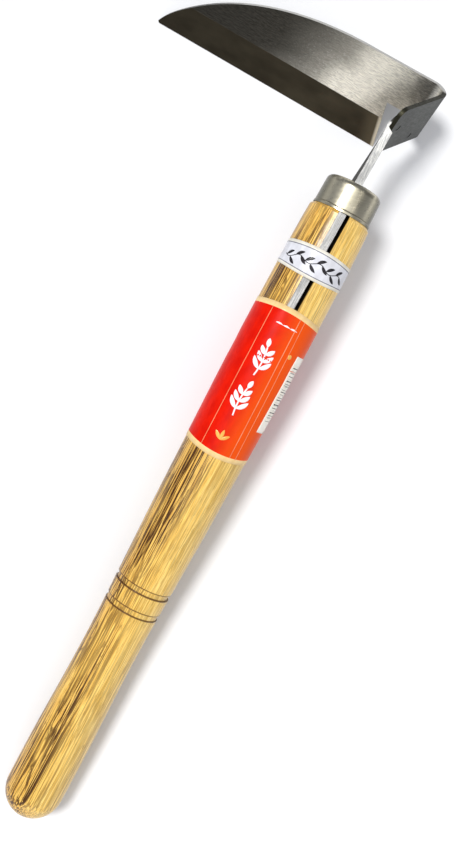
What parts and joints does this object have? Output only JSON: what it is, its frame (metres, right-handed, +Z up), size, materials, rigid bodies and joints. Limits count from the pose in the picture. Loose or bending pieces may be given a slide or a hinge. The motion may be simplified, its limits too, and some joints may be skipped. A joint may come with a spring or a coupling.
{
  "type": "hand sickle",
  "caption": "Short-handled weeding sickle: half-moon scraping blade folded up at its heel and welded to a twisted tang set in a turned wooden handle.",
  "frame": {"origin": "on the surface the tool lies on, below the centre of its bounding box", "axes": "+X from the butt towards the blade, +Y towards the blade's tip, +Z up from the surface it lies on, slot side up"},
  "size_m": [0.3594, 0.1272, 0.0537],
  "materials": {
    "blade_steel": "satin stainless sheet, ground bevel",
    "tang_steel": "sheared edge, bare steel",
    "handle_wood": "scorched and clear varnished",
    "ferrule_steel": "drawn and polished",
    "nail_steel": "bright wire",
    "band_film": "silvery white printed film",
    "wrap_film": "gloss red printed film"
  },
  "bodies": {
    "root": {"blade": "blade_steel", "tang": "tang_steel", "handle": "handle_wood", "ferrule": "ferrule_steel", "ferrule_nail": "nail_steel", "band_label": "band_film", "wrap_label": "wrap_film"}
  },
  "joints": []
}
